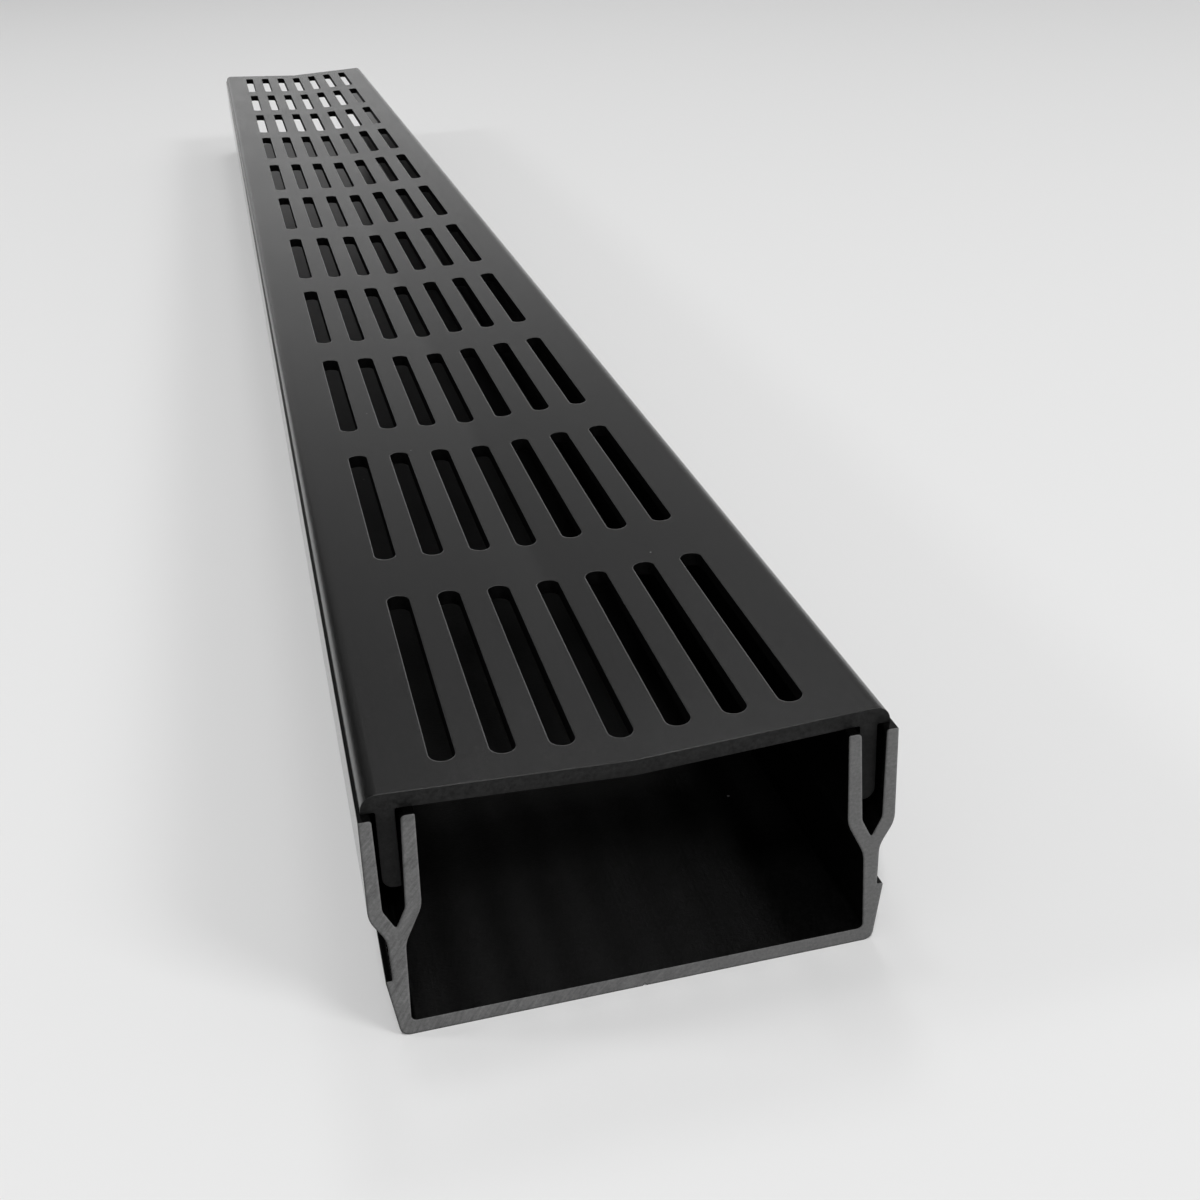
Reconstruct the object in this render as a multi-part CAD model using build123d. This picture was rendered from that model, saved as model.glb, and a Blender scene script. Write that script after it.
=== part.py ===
from build123d import *
import os

# Channel drain: a sawn length of U-shaped plastic channel, with a slotted grate pushed into its walls.
# Millimetres. X is across, +Y is along the length, +Z is up.
# The origin is on the underside, on the centre line, at the middle of the length.
# An inset is measured inwards from the channel's widest line, which is the outer bend of the fork.

# Channel, overall
channel_length = 1000.0
channel_width = 106.1
wall_height = 52.15
floor_thickness = 3.4

# Foot, where the wall meets the floor
foot_inset = 3.4
foot_radius = 2.2
floor_corner_inset = 5.6
floor_corner_radius = 1.2
centre_mark_width = 0.9
centre_mark_depth = 0.5

# Ledge on the outside, which keys the channel into its bed
ledge_height = 14.4
ledge_inset = 1.6
ledge_tip_radius = 0.35
ledge_root_radius = 0.25

# Neck, the single wall between the ledge and the fork
neck_inset = 3.0
neck_thickness = 3.4
neck_outer_top = 24.3
neck_inner_top = 22.9
bend_radius = 7.0

# Fork, two upright legs with a pointed groove between them
fork_outer_height = 29.8
fork_inner_height = 31.05
mouth_inset = 0.55
outer_leg_tip_thickness = 2.45
outer_leg_base_thickness = 2.8
inner_leg_tip_thickness = 2.6
inner_leg_base_thickness = 3.1
outer_leg_outside_radius = 0.25
outer_leg_groove_radius = 0.6
inner_leg_groove_radius = 0.9
inner_leg_inside_radius = 0.35
groove_mouth_width = 5.3
groove_base_width = 4.3
groove_depth = 20.75
groove_point_depth = 4.6
groove_side_radius = 3.0
groove_point_radius = 0.3

# Grate plate, two flats that fall to a soft crease on the centre line
grate_setback = 2.45
grate_rim_inset = 1.2
plate_thickness = 3.35
plate_fall = 0.048
plate_seat_clearance = 0.02
crease_radius = 20.0

# Grate rim, the rounded edge outside the grate's legs
rim_flat_end = 2.75
rim_edge_radius = 3.4
shoulder_inset = 0.45
shoulder_drop = 0.9
shoulder_radius = 3.0
rim_toe_radius = 0.3

# Grate legs, which hang in the grooves and lean on the inner side near their toes
grate_leg_length = 17.55
grate_leg_thickness = 3.6
grate_leg_root_gap = 0.75
grate_leg_toe_gap = 0.1
grate_leg_heel_radius = 2.4
grate_leg_toe_radius = 0.4
grate_leg_root_radius = 0.4

# Slots, in rows along the plate: one column on the crease and more on each side of it
slot_columns_each_side = 3
slot_width = 5.15
slot_length = 70.0
slot_pitch = 11.65
row_pitch = 90.0
first_row_margin = 8.25


# Half widths and heights that the two pieces share
half_width = channel_width / 2
mouth_outer = half_width - mouth_inset
groove_mouth_outer = mouth_outer - outer_leg_tip_thickness
groove_mouth_inner = groove_mouth_outer - groove_mouth_width
groove_base_outer = half_width - outer_leg_base_thickness
groove_base_inner = groove_base_outer - groove_base_width
groove_base_height = wall_height - groove_depth
inner_leg_face = groove_mouth_inner - inner_leg_tip_thickness
grate_length = channel_length - 2 * grate_setback
punch_travel = 2 * plate_thickness


def mirrored_section(right_half):
    """Face of a symmetric section, from the corners of its right half as (x, z, corner radius)."""
    left_half = [(-x, z, radius) for x, z, radius in reversed(right_half) if x > 0]
    corners = right_half + left_half
    with BuildSketch(Plane.XZ) as section:
        with BuildLine():
            FilletPolyline(
                *[(x, z) for x, z, radius in corners],
                radius=[radius for x, z, radius in corners],
                close=True,
            )
        make_face()
    return section.sketch


def make_channel():
    """U channel: floor, feet, ledges, necks and forked walls, one extruded section."""
    neck_outer = half_width - neck_inset
    groove_point = (groove_base_outer + groove_base_inner) / 2
    section = mirrored_section(
        [
            (0, centre_mark_depth, 0),
            (centre_mark_width / 2, 0, 0),
            (half_width - foot_inset, 0, foot_radius),
            (half_width - ledge_inset, ledge_height, ledge_tip_radius),
            (neck_outer, ledge_height, ledge_root_radius),
            (neck_outer, neck_outer_top, bend_radius),
            (half_width, fork_outer_height, bend_radius),
            (mouth_outer, wall_height, outer_leg_outside_radius),
            (groove_mouth_outer, wall_height, outer_leg_groove_radius),
            (groove_base_outer, groove_base_height, groove_side_radius),
            (groove_point, groove_base_height - groove_point_depth, groove_point_radius),
            (groove_base_inner, groove_base_height, groove_side_radius),
            (groove_mouth_inner, wall_height, inner_leg_groove_radius),
            (inner_leg_face, wall_height, inner_leg_inside_radius),
            (groove_base_inner - inner_leg_base_thickness, fork_inner_height, bend_radius),
            (neck_outer - neck_thickness, neck_inner_top, bend_radius),
            (half_width - floor_corner_inset, floor_thickness, floor_corner_radius),
        ]
    )
    return extrude(section, amount=channel_length / 2, both=True)


def groove_inner_face(height):
    """Half width of the groove's inner side at a height, where the grate's leg leans."""
    share = (wall_height - height) / groove_depth
    return groove_mouth_inner + share * (groove_base_inner - groove_mouth_inner)


def punched_slots(flat, columns, middle_column):
    """What a punch clears square to a flat of the plate: as many rows of slots as the grate holds."""
    rows = 1 + int((grate_length - 2 * first_row_margin - slot_length) // row_pitch)
    first_row = -grate_length / 2 + first_row_margin + slot_length / 2
    middle_row = first_row + (rows - 1) * row_pitch / 2
    with BuildSketch(flat) as slots:
        with Locations((middle_column, middle_row)):
            with GridLocations(slot_pitch, row_pitch, columns, rows):
                SlotOverall(slot_length, slot_width, rotation=90)
    return extrude(slots.sketch, amount=punch_travel, both=True)


def make_grate():
    """Grate: a shallow V plate with rounded rims, a leg along each side and rows of slots."""
    rim_half_width = half_width - grate_rim_inset
    flat_half_width = rim_half_width - rim_flat_end
    plate_bottom = wall_height + plate_seat_clearance
    rim_top = plate_bottom + plate_thickness + plate_fall * (flat_half_width - inner_leg_face)
    valley_top = rim_top - plate_fall * flat_half_width
    leg_root = groove_mouth_inner + grate_leg_root_gap
    leg_toe_height = wall_height - grate_leg_length
    leg_toe = groove_inner_face(leg_toe_height) + grate_leg_toe_gap
    section = mirrored_section(
        [
            (0, valley_top, crease_radius),
            (flat_half_width, rim_top, rim_edge_radius),
            (rim_half_width - shoulder_inset, rim_top - shoulder_drop, shoulder_radius),
            (rim_half_width, wall_height, rim_toe_radius),
            (leg_root + grate_leg_thickness, wall_height, grate_leg_root_radius),
            (leg_toe + grate_leg_thickness, leg_toe_height, grate_leg_heel_radius),
            (leg_toe, leg_toe_height, grate_leg_toe_radius),
            (leg_root, plate_bottom + plate_fall * (leg_root - inner_leg_face), grate_leg_root_radius),
            (0, valley_top - plate_thickness, crease_radius),
        ]
    )
    grate = extrude(section, amount=grate_length / 2, both=True)

    crease_top = (0, 0, valley_top)
    grate -= punched_slots(Plane(crease_top), 1, 0)
    for side in (-1, 1):
        flat = Plane(crease_top, x_dir=(1, 0, side * plate_fall), z_dir=(-side * plate_fall, 0, 1))
        middle_column = side * slot_pitch * (slot_columns_each_side + 1) / 2
        grate -= punched_slots(flat, slot_columns_each_side, middle_column)
    return grate


parts = {
    "channel": make_channel(),
    "grate": make_grate(),
}

os.makedirs("parts", exist_ok=True)
for name, solid in parts.items():
    export_step(solid, f"parts/{name}.step")
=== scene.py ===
"""Looks of a channel drain: a sawn length of black plastic channel with a slotted grate in its walls.
Metres, in the frame's own axes: X is across, +Y is along the length, +Z is up.
The near sawn end is at low Y."""

import math

import bpy
from mathutils import Matrix, Vector


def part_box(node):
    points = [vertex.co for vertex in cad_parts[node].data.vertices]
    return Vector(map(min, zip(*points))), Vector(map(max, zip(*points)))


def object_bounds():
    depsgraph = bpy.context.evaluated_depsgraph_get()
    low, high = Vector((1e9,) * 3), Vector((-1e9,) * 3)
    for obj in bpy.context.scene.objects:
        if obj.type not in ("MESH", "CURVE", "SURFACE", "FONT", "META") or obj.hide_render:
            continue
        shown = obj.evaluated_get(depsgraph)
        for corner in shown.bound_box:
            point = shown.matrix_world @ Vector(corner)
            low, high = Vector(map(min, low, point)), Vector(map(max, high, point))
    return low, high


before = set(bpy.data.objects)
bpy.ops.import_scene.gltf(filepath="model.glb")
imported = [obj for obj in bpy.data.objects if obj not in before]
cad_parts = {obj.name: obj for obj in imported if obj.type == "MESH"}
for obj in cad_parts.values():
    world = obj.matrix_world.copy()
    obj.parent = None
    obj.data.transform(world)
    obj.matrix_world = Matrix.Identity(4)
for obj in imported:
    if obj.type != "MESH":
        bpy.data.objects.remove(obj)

cad_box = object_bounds()
drain_low = Vector(cad_box[0])
near_end = Vector((0, drain_low.y, drain_low.z))

# Camera, at the photograph's viewing angle. The photograph is 1200 pixels wide.
PHOTO_WIDTH = 1200
FOCAL_PIXELS = 1437.4
SENSOR_WIDTH = 36.0
CAMERA_FROM_NEAR_END = Vector((-0.0568, -0.2152, 0.2063))
YAW, PITCH, ROLL = (math.radians(angle) for angle in (13.26, 27.77, -2.34))
NEAREST_SEEN, FARTHEST_SEEN = 0.01, 100.0

# Studio floor
FLOOR_REACH = 12.0
FLOOR_GREY = 0.80
FLOOR_ROUGHNESS = 0.9

# Studio room. AMBIENT is its even light on dull faces, and BACKDROP is what the camera sees of it.
AMBIENT = 0.30
BACKDROP = 0.72

# What gloss mirrors of the room, as (degrees above the horizon, brightness)
STRAIGHT_UP = 90.0
ROOM_BY_HEIGHT = (
    (0, 1.0),
    (8, 1.0),
    (9, 0.62),
    (11, 0.36),
    (14, 0.35),
    (17, 0.285),
    (21, 0.23),
    (25, 0.18),
    (32, 0.23),
    (38, 0.18),
    (45, 0.10),
)

# High up, by degrees above the horizon, the room grows brighter to the right. Its left is dark at any
# height. Right and left are given as the sine of the bearing.
HIGH_STARTS, HIGH_FULL = 18, 31
RIGHT_FROM, RIGHT_TO = 0.02, 0.36
RIGHT_LEAST, RIGHT_MOST = 0.72, 1.80
LEFT_DARK, LEFT_LIGHT = -0.34, -0.14
LEFT_LEVEL = 0.1

# Softboxes, each as (name, direction from the near end, distance, width, brightness on the floor)
SOFTBOXES = (
    ("key_softbox", (0.54, -0.56, 0.63), 3.5, 0.95, 0.17),
    ("top_softbox", (-0.10, 0.29, 0.96), 5.0, 0.70, 0.06),
    ("back_softbox", (0.15, 0.60, 0.79), 5.0, 0.90, 0.06),
    ("front_softbox", (-0.12, -0.45, 0.89), 8.0, 1.30, 0.40),
    ("left_softbox", (-0.84, 0.25, 0.47), 3.0, 0.40, 0.06),
)

# All the plastic. Its noises run from 0 to 1, and mostly within NOISE_SPAN.
PLASTIC_IOR = 1.5
BUMP_HEIGHT = 0.0001
NOISE_MIDDLE = 0.5
NOISE_SPAN = (0.3, 0.7)

# Edges look rounded by these radii. A sawn face has a broader outline, which carries painted highlight
# and shade in its grey alone.
CHANNEL_EDGE = 0.0003
GRATE_EDGE = 0.0005
SAWN_OUTLINE = 0.0009
BEVEL_SAMPLES = 6

# An edge starts and is full where the rounded normal leans from the true one by these cosines
EDGE_STARTS, EDGE_FULL = 0.99, 0.85

# Share of the places for a speck of dust that stay empty
SPECKLESS = 0.6

# Drawn skin: fine lines along the length, a grain, and clouds in its wear and gloss
SKIN_LINES = {"scale": 1100, "stretch": (1, 0.006, 1)}
SKIN_GRAIN = {"scale": 1600, "detail": 3, "roughness": 0.6}
SKIN_CLOUD = {"scale": 60, "stretch": (1, 0.3, 1), "detail": 3}
SKIN_SPECKS = {"spacing": 0.009, "largest": 0.00035, "speck_grey": 0.16}
SKIN_CONTRAST = 0.7
SKIN_ROUGHNESS_VARIES = 0.012
SKIN_LINE_DEPTH = 0.5
SKIN_BUMP = 0.5

# The skin's edges are pale: real wear where the clouds are thick, and a painted highlight where they face
# the right, towards the key light
LIT_EDGE_FACES_FROM, LIT_EDGE_FACES_TO = 0.1, 0.5
LIT_EDGE_LEAST = 0.15
WEAR_CLOUD_SPAN = (0.35, 0.6)
WEAR_LEAST_BY_CLOUD = 0.6

# The channel's inside is blacker towards the tops of its legs: painted shade up under the grate
INSIDE_LOW, INSIDE_HIGH = 0.004, 0.045
UNDER_GRATE_SHADE = 0.12

# Sawn faces: arcs round the blade's centre, deeper on the left, with a mottle and clouds.
# One radian counts as ARC_RADIAN metres, so the arcs run long.
BLADE_CENTRE = (0.055, 0, -0.052)
ARC_RADIAN = 0.012
SAWN_ARCS = {"scale": 1300, "detail": 4, "roughness": 0.7}
SAWN_MOTTLE = {"scale": 1500, "detail": 4, "roughness": 0.7}
SAWN_CLOUD = {"scale": 160}
SAWN_SPECKS = {"spacing": 0.007, "largest": 0.00022, "speck_grey": 0.5}
ARCS_DEEP_TO, ARCS_FAINT_FROM = -0.02, 0.03
DEEP_ARCS, FAINT_ARCS = 1.6, 0.4
MOTTLE_SPAN = (0.25, 0.75)
MOTTLE_CONTRAST = 0.3
CLOUD_CONTRAST = 0.06
MOTTLE_DEPTH = 0.7
SAWN_BUMP = 0.2

# The outline of a sawn face has a painted highlight on the side that faces the upper right, towards the
# key light, and painted shade on the other side
LIT_SIDE = (0.87, 0, 0.5)
OUTLINE_SHADE_TO, OUTLINE_LIGHT_FROM = -0.3, 0.5
OUTLINE_SHADE, OUTLINE_LIGHT = 0.2, 1.5

# Cut faces of the grate. Low down, at its legs, they are blacker than in its plate: painted shade where
# the channel's legs stand in front of them.
CUT_GRAIN = {"scale": 1100, "detail": 4, "roughness": 0.7}
CUT_SPECKS = {"spacing": 0.005, "largest": 0.00025, "speck_grey": 0.10}
CUT_CONTRAST = 0.8
CUT_BUMP = 0.4
LEGS_BELOW, PLATE_ABOVE = 0.0495, 0.0525
LEG_SHADE_SHARE = 0.4

# A face is sawn if it is square to the length, by this cosine, and this near an end
SQUARE_TO_LENGTH = 0.9
END_DEPTH = 0.00005

# A face of the grate is punched if it is steep, by this cosine, and within the slots' half width
STEEP_BELOW = 0.5
SLOT_FIELD = 0.0385

# A face of the channel is inside if it is within this half width and above the mark in the underside
INSIDE_HALF_WIDTH = 0.0475
UNDERSIDE_TOP = 0.001

# Material slots of each piece
SKIN_SLOT, END_SLOT, INNER_SLOT = range(3)


class Graph:
    """Short calls that build one node tree."""

    def __init__(self, tree):
        self.tree = tree
        tree.nodes.clear()

    def node(self, kind, inputs=(), **settings):
        """A new node. inputs pairs a socket's name or number with a value or another node's socket."""
        node = self.tree.nodes.new(kind)
        for name, value in settings.items():
            setattr(node, name, value)
        for key, value in dict(inputs).items():
            if isinstance(value, bpy.types.NodeSocket):
                self.tree.links.new(value, node.inputs[key])
            else:
                node.inputs[key].default_value = value
        return node

    def math(self, operation, *values):
        """The outcome of one operation on plain numbers."""
        return self.node("ShaderNodeMath", enumerate(values), operation=operation).outputs[0]

    def product(self, first, *others):
        """All the values multiplied."""
        for other in others:
            first = self.math("MULTIPLY", first, other)
        return first

    def vector_math(self, operation, *values, output=0):
        """The outcome of one operation on vectors. output 1 is the plain number of a dot product."""
        return self.node("ShaderNodeVectorMath", enumerate(values), operation=operation).outputs[output]

    def remap(self, value, low, high, to_low=0.0, to_high=1.0, smooth=False):
        """value carried from low..high to to_low..to_high and held there."""
        inputs = enumerate((value, low, high, to_low, to_high))
        kind = "SMOOTHSTEP" if smooth else "LINEAR"
        return self.node("ShaderNodeMapRange", inputs, interpolation_type=kind).outputs[0]

    def vary(self, noise, value, reach, span=NOISE_SPAN):
        """value, which the noise moves by up to reach either way."""
        return self.remap(noise, *span, value - reach, value + reach)

    def mix(self, share, first, second):
        """first where share is 0 and second where it is 1, both plain numbers."""
        return self.node("ShaderNodeMix", {0: share, 2: first, 3: second}, data_type="FLOAT").outputs[0]

    def ramp(self, value, stops):
        """Greys along a value from 0 to 1. stops are (value, grey)."""
        node = self.node("ShaderNodeValToRGB", {0: value})
        elements = node.color_ramp.elements
        elements.remove(elements[1])
        elements[0].position = stops[0][0]
        for position, _ in stops[1:]:
            elements.new(position)
        for element, (_, grey) in zip(elements, stops):
            element.color = (grey, grey, grey, 1)
        return node.outputs[0]

    def noise(self, place, scale, stretch=(1, 1, 1), detail=2.0, roughness=0.5):
        """Noise at a place, 0 to 1, with scale lumps per metre. It runs long where the stretch is low."""
        stretched = self.vector_math("MULTIPLY", place, stretch)
        inputs = {"Vector": stretched, "Scale": scale, "Detail": detail, "Roughness": roughness}
        return self.node("ShaderNodeTexNoise", inputs).outputs[0]

    def split(self, vector):
        """The three parts of a vector."""
        return self.node("ShaderNodeSeparateXYZ", {0: vector}).outputs


def new_graph(owner):
    """The emptied node tree of a material or world."""
    owner.use_nodes = True
    return Graph(owner.node_tree)


def new_finish(name):
    """A new material, its emptied node tree, and the place on the drain that the tree looks at."""
    material = bpy.data.materials.new(name)
    graph = new_graph(material)
    return material, graph, graph.node("ShaderNodeTexCoord").outputs["Object"]


def with_specks(graph, place, grey, spacing, largest, speck_grey):
    """grey with pale specks, at most one per spacing and many of those left out."""
    cells = graph.node("ShaderNodeTexVoronoi", {"Vector": place, "Scale": 1 / spacing}, feature="F1")
    chance = graph.split(cells.outputs["Color"])[0]
    size = graph.remap(chance, SPECKLESS, 1.0, 0.0, largest / spacing)
    is_speck = graph.math("LESS_THAN", cells.outputs["Distance"], size)
    return graph.mix(is_speck, grey, speck_grey)


def rounded_normal(graph, radius):
    """The normal with sharp edges rounded a little."""
    return graph.node("ShaderNodeBevel", {"Radius": radius}, samples=BEVEL_SAMPLES).outputs[0]


def edge_share(graph, rounded):
    """How much of an edge a place is, from 0 to 1, by how far the rounded normal leans there."""
    true_normal = graph.node("ShaderNodeNewGeometry").outputs["True Normal"]
    lean = graph.vector_math("DOT_PRODUCT", rounded, true_normal, output=1)
    return graph.remap(lean, EDGE_STARTS, EDGE_FULL)


def finish_plastic(graph, grey, roughness, specular, height, strength, rounded):
    """The plastic itself, with its grain as bump."""
    bump = graph.node(
        "ShaderNodeBump",
        {"Strength": strength, "Distance": BUMP_HEIGHT, "Height": height, "Normal": rounded},
    )
    shader = graph.node(
        "ShaderNodeBsdfPrincipled",
        {
            "Base Color": grey,
            "Roughness": roughness,
            "IOR": PLASTIC_IOR,
            "Specular IOR Level": specular,
            "Normal": bump.outputs[0],
        },
    )
    graph.node("ShaderNodeOutputMaterial", {"Surface": shader.outputs[0]})


def drawn_skin(name, black, worn_and_lit_grey, roughness, specular, edge_radius, under_grate_shade=1.0):
    """The skin of an extrusion: black, with lines along it, a fine grain, specks, and pale edges that are
    partly worn and partly a painted highlight where they face the right.
    The black at the tops of the legs is the given share of that near the floor: painted shade up under
    the grate."""
    material, graph, place = new_finish(name)
    lines = graph.noise(place, **SKIN_LINES)
    grain = graph.noise(place, **SKIN_GRAIN)
    cloud = graph.noise(place, **SKIN_CLOUD)

    grainy = graph.vary(grain, black, SKIN_CONTRAST * black)
    # Painted shade: the black falls off upwards, to its given share at the tops of the legs, up under the
    # grate.
    shade_by_height = graph.remap(graph.split(place)[2], INSIDE_LOW, INSIDE_HIGH, 1.0, under_grate_shade)
    grey = with_specks(graph, place, graph.product(grainy, shade_by_height), **SKIN_SPECKS)

    rounded = rounded_normal(graph, edge_radius)
    # Painted highlight, in part: the pale edges grow paler where they face the right, towards the key
    # light; the clouds below give the real wear.
    facing_right = graph.split(rounded)[0]
    highlight_by_face = graph.remap(facing_right, LIT_EDGE_FACES_FROM, LIT_EDGE_FACES_TO, LIT_EDGE_LEAST, 1.0)
    by_cloud = graph.remap(cloud, *WEAR_CLOUD_SPAN, WEAR_LEAST_BY_CLOUD, 1.0)
    wear_and_highlight = graph.product(edge_share(graph, rounded), highlight_by_face, by_cloud)
    grey = graph.mix(wear_and_highlight, grey, worn_and_lit_grey)

    rough = graph.vary(cloud, roughness, SKIN_ROUGHNESS_VARIES)
    height = graph.math("ADD", graph.product(lines, SKIN_LINE_DEPTH), grain)
    finish_plastic(graph, grey, rough, specular, height, SKIN_BUMP, rounded)
    return material


def blade_arcs(graph, place):
    """Noise in long arcs round the blade's centre."""
    across, _, up = graph.split(graph.vector_math("SUBTRACT", place, BLADE_CENTRE))
    squares = graph.math("ADD", graph.math("POWER", across, 2.0), graph.math("POWER", up, 2.0))
    reach = graph.math("SQRT", squares)
    along = graph.product(graph.math("ARCTAN2", up, across), ARC_RADIAN)
    on_blade = graph.node("ShaderNodeCombineXYZ", {0: reach, 1: along}).outputs[0]
    return graph.noise(on_blade, **SAWN_ARCS)


def sawn_face(name, grey, roughness, specular):
    """A sawn end: matt grey, with the blade's faint arcs, a fine mottle, pale specks, and an outline
    painted with a highlight towards the upper right and with shade on the other side.
    """
    material, graph, place = new_finish(name)
    arcs = blade_arcs(graph, place)
    mottle = graph.noise(place, **SAWN_MOTTLE)
    cloud = graph.noise(place, **SAWN_CLOUD)

    across = graph.split(place)[0]
    depth = graph.remap(across, ARCS_DEEP_TO, ARCS_FAINT_FROM, DEEP_ARCS, FAINT_ARCS)
    arc_tone = graph.math("ADD", graph.product(graph.math("SUBTRACT", arcs, NOISE_MIDDLE), depth), 1.0)
    mottle_tone = graph.vary(mottle, 1.0, MOTTLE_CONTRAST, span=MOTTLE_SPAN)
    cloud_tone = graph.vary(cloud, 1.0, CLOUD_CONTRAST)
    face_grey = graph.product(arc_tone, mottle_tone, cloud_tone, grey)
    face_grey = with_specks(graph, place, face_grey, **SAWN_SPECKS)

    # Painted light: the outline is paler where it faces the upper right, towards the key light, and
    # darker where it faces away.
    outline = rounded_normal(graph, SAWN_OUTLINE)
    to_lit_side = graph.vector_math("DOT_PRODUCT", outline, LIT_SIDE, output=1)
    painted_outline_light = graph.remap(to_lit_side, OUTLINE_SHADE_TO, OUTLINE_LIGHT_FROM, OUTLINE_SHADE, OUTLINE_LIGHT)
    face_grey = graph.product(face_grey, graph.mix(edge_share(graph, outline), 1.0, painted_outline_light))

    height = graph.math("ADD", arcs, graph.product(mottle, MOTTLE_DEPTH))
    rounded = rounded_normal(graph, CHANNEL_EDGE)
    finish_plastic(graph, face_grey, roughness, specular, height, SAWN_BUMP, rounded)
    return material


def cut_face(name, black, roughness, specular):
    """A cut or punched face of the grate: near black and dull, with a fine broken grain and painted shade
    low down, at the legs.
    """
    material, graph, place = new_finish(name)
    grain = graph.noise(place, **CUT_GRAIN)
    grainy = graph.vary(grain, black, CUT_CONTRAST * black)
    # Painted shade: low down, at the grate's legs, set back between the channel's legs, the cut faces are
    # darker.
    shade_by_height = graph.remap(graph.split(place)[2], LEGS_BELOW, PLATE_ABOVE, LEG_SHADE_SHARE, 1.0)
    grey = with_specks(graph, place, graph.product(grainy, shade_by_height), **CUT_SPECKS)
    rounded = rounded_normal(graph, CHANNEL_EDGE)
    finish_plastic(graph, grey, roughness, specular, grain, CUT_BUMP, rounded)
    return material


def is_sawn(face, end_y):
    """Whether a face is at either sawn end. The ends are at end_y and at -end_y."""
    return abs(face.normal.y) > SQUARE_TO_LENGTH and abs(face.center.y) > end_y - END_DEPTH


def is_slot_wall(face):
    """Whether a face of the grate is the punched wall of a slot."""
    return abs(face.normal.z) < STEEP_BELOW and abs(face.center.x) < SLOT_FIELD


def is_inside(face):
    """Whether a face of the channel is in the water way or on an inner leg."""
    return abs(face.center.x) < INSIDE_HALF_WIDTH and face.center.z > drain_low.z + UNDERSIDE_TOP


def dress(node, skin, end, inner, is_inner):
    """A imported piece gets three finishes: its skin, its sawn ends and the faces that is_inner picks."""
    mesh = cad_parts[node].data
    end_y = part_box(node)[1].y
    mesh.materials.clear()
    for material in (skin, end, inner):
        mesh.materials.append(material)
    for face in mesh.polygons:
        if is_sawn(face, end_y):
            face.material_index = END_SLOT
        elif is_inner(face):
            face.material_index = INNER_SLOT
        else:
            face.material_index = SKIN_SLOT


def dress_channel():
    """The channel is glossy outside, dull and black inside, and pale where it is sawn."""
    skin = drawn_skin(
        "channel_skin",
        black=0.002,
        worn_and_lit_grey=0.002,
        roughness=0.08,
        specular=0.25,
        edge_radius=CHANNEL_EDGE,
    )
    inside = drawn_skin(
        "channel_inside",
        black=0.002,
        worn_and_lit_grey=0.002,
        roughness=0.34,
        specular=0.13,
        edge_radius=CHANNEL_EDGE,
        under_grate_shade=UNDER_GRATE_SHADE,
    )
    end = sawn_face("channel_sawn_end", grey=0.118, roughness=0.7, specular=0.3)
    dress("channel", skin, end, inside, is_inside)


def dress_grate():
    """The grate is satin, with pale edges, partly worn and partly a painted highlight, and dull cut
    faces.
    """
    skin = drawn_skin(
        "grate_skin",
        black=0.007,
        worn_and_lit_grey=0.16,
        roughness=0.25,
        specular=0.5,
        edge_radius=GRATE_EDGE,
    )
    end = cut_face("grate_cut_end", black=0.009, roughness=0.5, specular=0.15)
    slot_wall = cut_face("grate_punched_wall", black=0.002, roughness=0.6, specular=0.05)
    dress("grate", skin, end, slot_wall, is_slot_wall)


def make_floor():
    """A pale floor on which the drain rests."""
    mesh = bpy.data.meshes.new("studio_floor")
    edge = FLOOR_REACH
    corners = [(-edge, -edge, 0), (edge, -edge, 0), (edge, edge, 0), (-edge, edge, 0)]
    mesh.from_pydata(corners, [], [(0, 1, 2, 3)])
    floor = bpy.data.objects.new("studio_floor", mesh)
    floor.location.z = drain_low.z
    bpy.context.scene.collection.objects.link(floor)

    material = bpy.data.materials.new("studio_floor_paint")
    graph = new_graph(material)
    colour = (FLOOR_GREY, FLOOR_GREY, FLOOR_GREY, 1)
    shader = graph.node("ShaderNodeBsdfPrincipled", {"Base Color": colour, "Roughness": FLOOR_ROUGHNESS})
    graph.node("ShaderNodeOutputMaterial", {"Surface": shader.outputs[0]})
    mesh.materials.append(material)


def mirrored_room(graph):
    """What gloss mirrors: a room bright round the horizon and high on the right, and dark on the left."""
    side, ahead, up = graph.split(graph.node("ShaderNodeTexCoord").outputs["Generated"])
    height = graph.math("DEGREES", graph.math("ARCSINE", up))
    stops = [(angle / STRAIGHT_UP, grey) for angle, grey in ROOM_BY_HEIGHT]
    level = graph.ramp(graph.math("DIVIDE", height, STRAIGHT_UP), stops)

    to_the_right = graph.math("SINE", graph.math("ARCTAN2", side, ahead))
    high_up = graph.remap(height, HIGH_STARTS, HIGH_FULL, smooth=True)
    high_gain = graph.remap(to_the_right, RIGHT_FROM, RIGHT_TO, RIGHT_LEAST, RIGHT_MOST, smooth=True)
    gain = graph.mix(high_up, 1.0, high_gain)
    shade = graph.remap(to_the_right, LEFT_DARK, LEFT_LIGHT, LEFT_LEVEL, 1.0)
    return graph.product(level, gain, shade)


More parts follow.
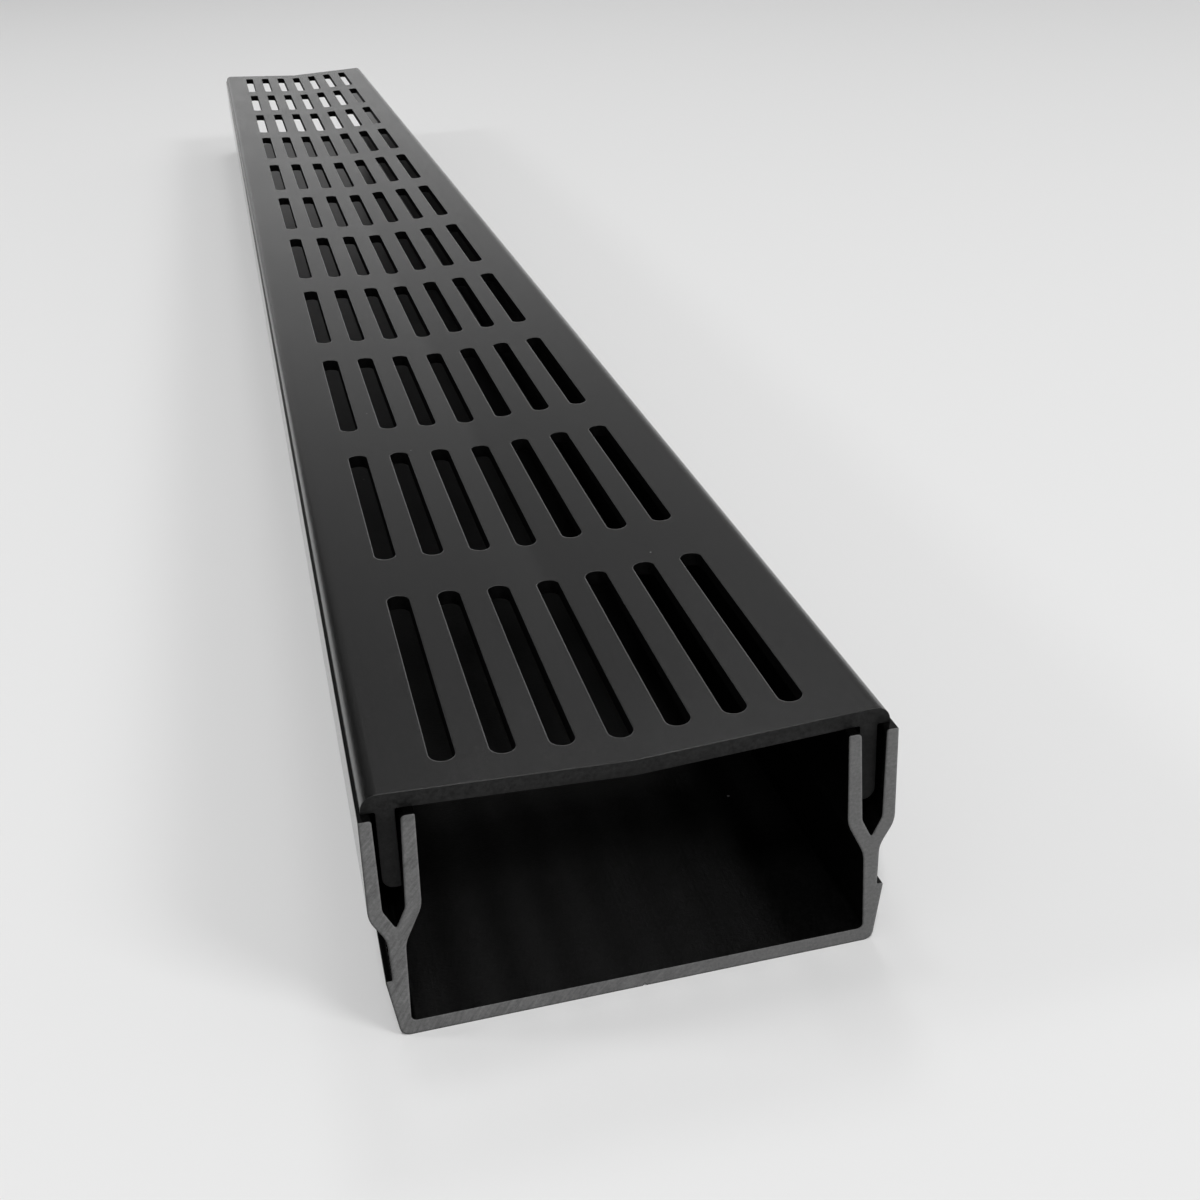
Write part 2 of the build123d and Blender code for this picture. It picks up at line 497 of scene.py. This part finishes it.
def make_world():
    """A pale room, which gives an even light, is mirrored by gloss and is plain to the camera."""
    world = bpy.data.worlds.new("studio_room")
    graph = new_graph(world)
    room = mirrored_room(graph)
    path = graph.node("ShaderNodeLightPath").outputs
    mirrored = graph.math("MAXIMUM", path["Is Glossy Ray"], path["Is Transmission Ray"])
    seen = graph.mix(mirrored, AMBIENT, room)
    seen = graph.mix(path["Is Camera Ray"], seen, BACKDROP)
    shader = graph.node("ShaderNodeBackground", {"Color": seen, "Strength": 1.0})
    graph.node("ShaderNodeOutputWorld", {"Surface": shader.outputs[0]})
    bpy.context.scene.world = world


def make_softbox(name, direction, distance, width, brightness):
    """A square area light that faces the near end and isn't seen itself.
    A white floor there gains its brightness."""
    direction = Vector(direction).normalized()
    data = bpy.data.lights.new(name, "AREA")
    data.shape = "SQUARE"
    data.size = width
    data.energy = brightness * (math.pi * distance) ** 2 / direction.z
    light = bpy.data.objects.new(name, data)
    light.location = near_end + distance * direction
    light.rotation_euler = (-direction).to_track_quat("-Z", "Y").to_euler()
    light.visible_camera = False
    bpy.context.scene.collection.objects.link(light)


def make_camera():
    """The camera as the photograph was taken, with depth of field off."""
    forward = Vector((
        math.sin(YAW) * math.cos(PITCH),
        math.cos(YAW) * math.cos(PITCH),
        -math.sin(PITCH),
    ))
    level_right = Vector((math.cos(YAW), -math.sin(YAW), 0))
    level_up = level_right.cross(forward)
    right = math.cos(ROLL) * level_right + math.sin(ROLL) * level_up
    up = math.cos(ROLL) * level_up - math.sin(ROLL) * level_right
    turn = Matrix((right, up, -forward)).transposed()

    data = bpy.data.cameras.new("photo_camera")
    data.sensor_fit = "HORIZONTAL"
    data.sensor_width = SENSOR_WIDTH
    data.lens = SENSOR_WIDTH * FOCAL_PIXELS / PHOTO_WIDTH
    data.clip_start = NEAREST_SEEN
    data.clip_end = FARTHEST_SEEN
    camera = bpy.data.objects.new("photo_camera", data)
    camera.matrix_world = Matrix.Translation(near_end + CAMERA_FROM_NEAR_END) @ turn.to_4x4()
    bpy.context.scene.collection.objects.link(camera)
    bpy.context.scene.camera = camera


dress_channel()
dress_grate()
make_floor()
make_world()
for softbox in SOFTBOXES:
    make_softbox(*softbox)
make_camera()
bpy.context.scene.view_settings.view_transform = "Standard"
